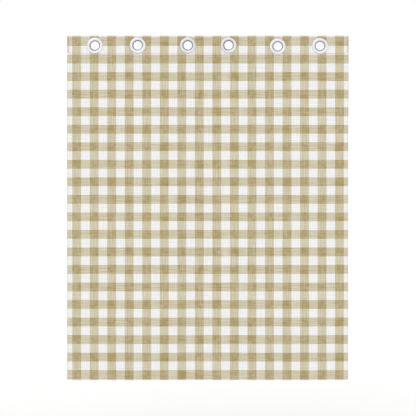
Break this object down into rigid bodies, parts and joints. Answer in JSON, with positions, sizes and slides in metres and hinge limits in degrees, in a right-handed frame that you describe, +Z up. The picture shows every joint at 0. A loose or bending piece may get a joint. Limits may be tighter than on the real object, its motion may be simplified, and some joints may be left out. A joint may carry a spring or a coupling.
{
  "type": "eyelet curtain",
  "caption": "Flat hanging curtain panel in tan and white gingham with a doubled heading strip and round metal eyelets along its top edge.",
  "frame": {"origin": "middle of the curtain's top edge, where whatever holds it up takes its weight", "axes": "+Z up along the drop, +X across the width to the right as seen from the face, +Y towards the back of the cloth"},
  "size_m": [1.307, 0.0125, 1.6],
  "materials": {
    "panel_cloth": "woven tan and white gingham, matt",
    "heading_cloth": "woven tan and white gingham, doubled and topstitched",
    "eyelet_metal": "satin nickel, bright flange and darker throat"
  },
  "bodies": {
    "root": {"panel": "panel_cloth", "heading": "heading_cloth", "eyelet_1_front": "eyelet_metal", "eyelet_1_back": "eyelet_metal", "eyelet_2_front": "eyelet_metal", "eyelet_2_back": "eyelet_metal", "eyelet_3_front": "eyelet_metal", "eyelet_3_back": "eyelet_metal", "eyelet_4_front": "eyelet_metal", "eyelet_4_back": "eyelet_metal", "eyelet_5_front": "eyelet_metal", "eyelet_5_back": "eyelet_metal", "eyelet_6_front": "eyelet_metal", "eyelet_6_back": "eyelet_metal"}
  },
  "joints": []
}
